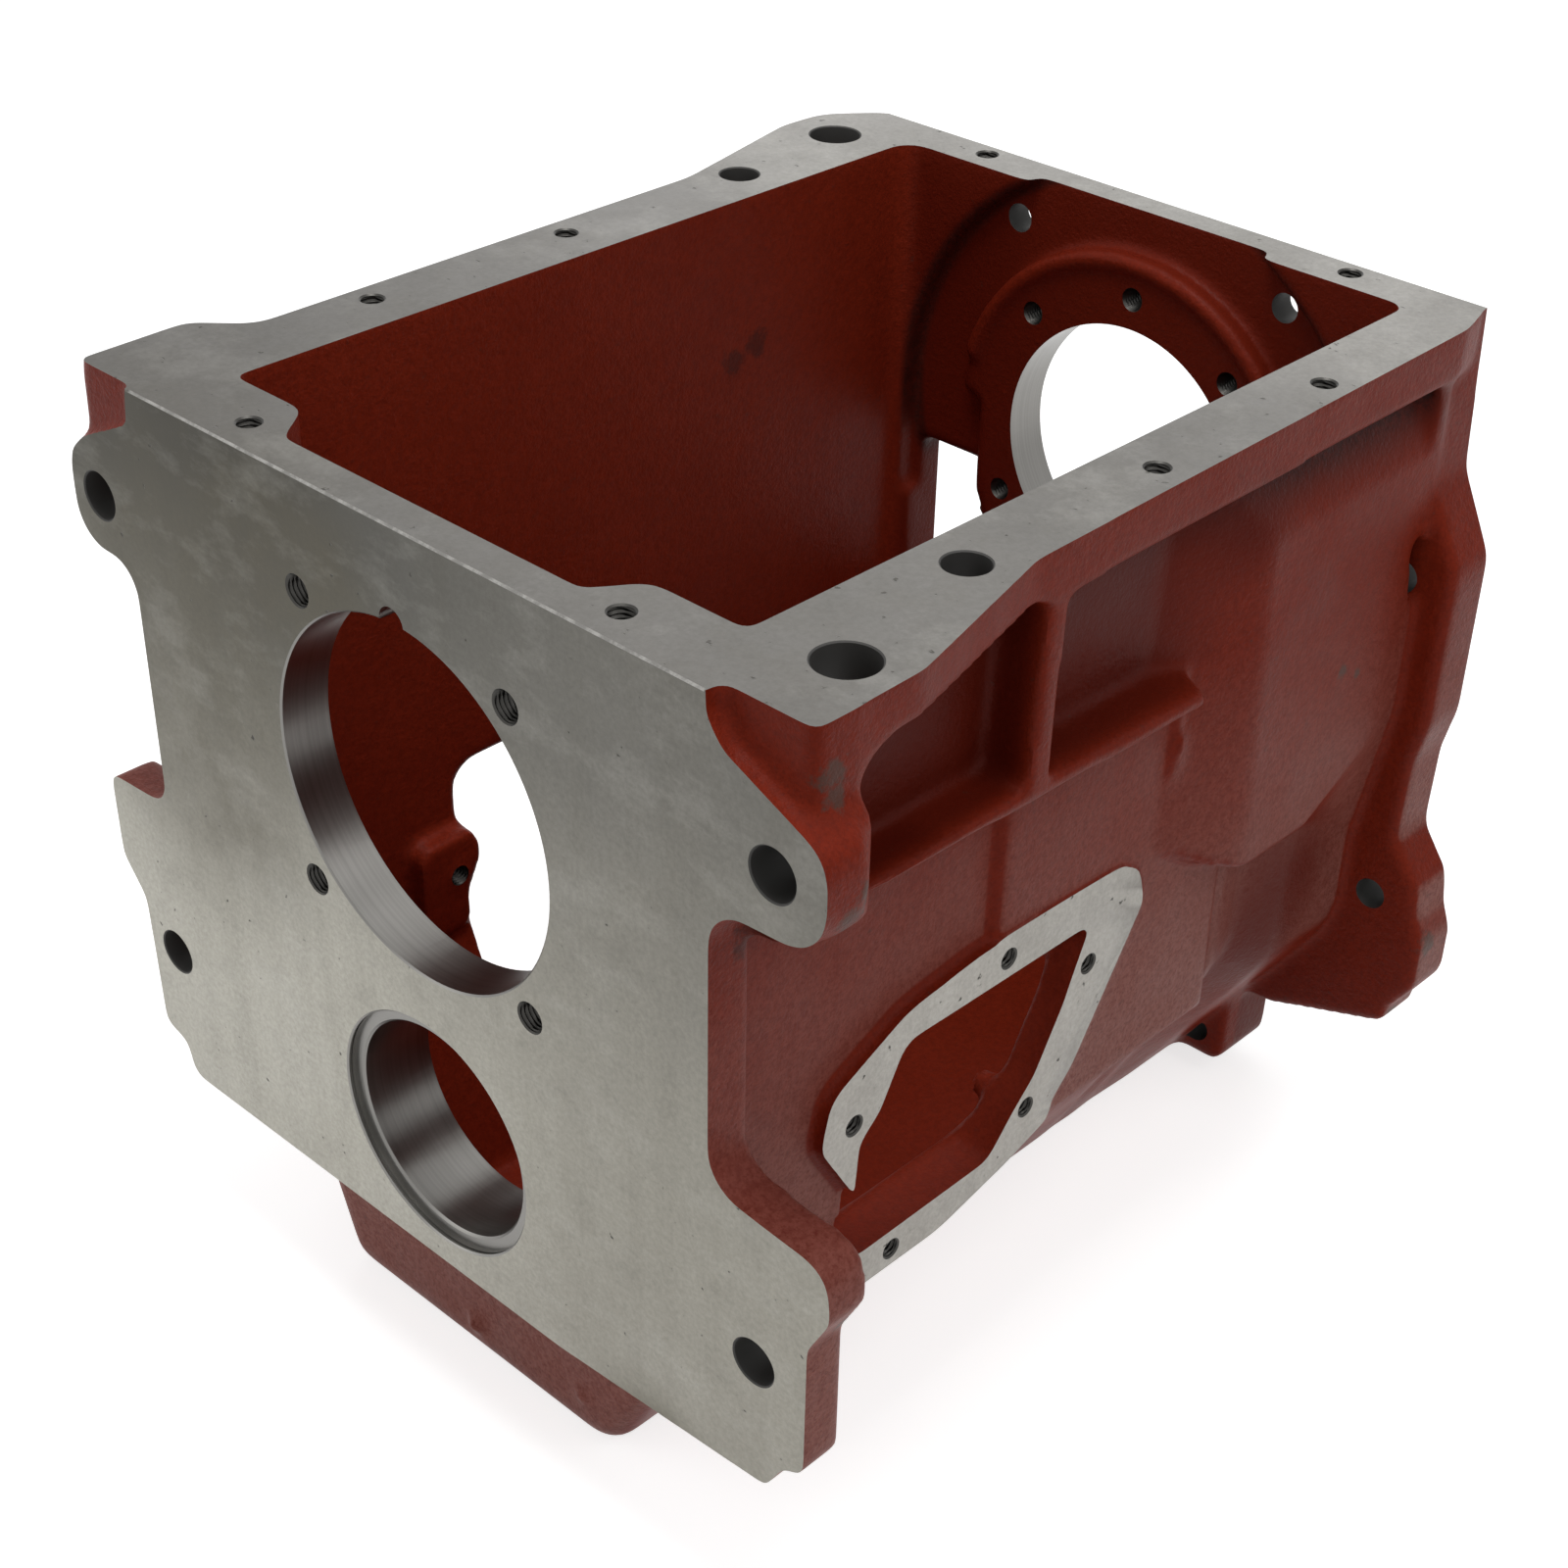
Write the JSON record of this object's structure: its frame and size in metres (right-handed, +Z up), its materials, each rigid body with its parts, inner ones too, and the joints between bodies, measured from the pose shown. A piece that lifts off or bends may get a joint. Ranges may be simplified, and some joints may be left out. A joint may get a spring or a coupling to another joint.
{
  "type": "gearbox housing",
  "caption": "Cast iron gearbox case with an open top, stepped shaft bores in front and rear walls, side openings, ribbed flanks and a tapered sump.",
  "frame": {"origin": "centre of the main shaft bore on the machined front face", "axes": "+X to the side with the small opening, +Y along the shafts to the rear flange, +Z up through the open top"},
  "size_m": [0.3477, 0.365, 0.343],
  "materials": {
    "casting": "brick-red primer on cast surfaces, bare machined joint faces and bores"
  },
  "bodies": {
    "root": {"gearbox_housing": "casting"}
  },
  "joints": []
}
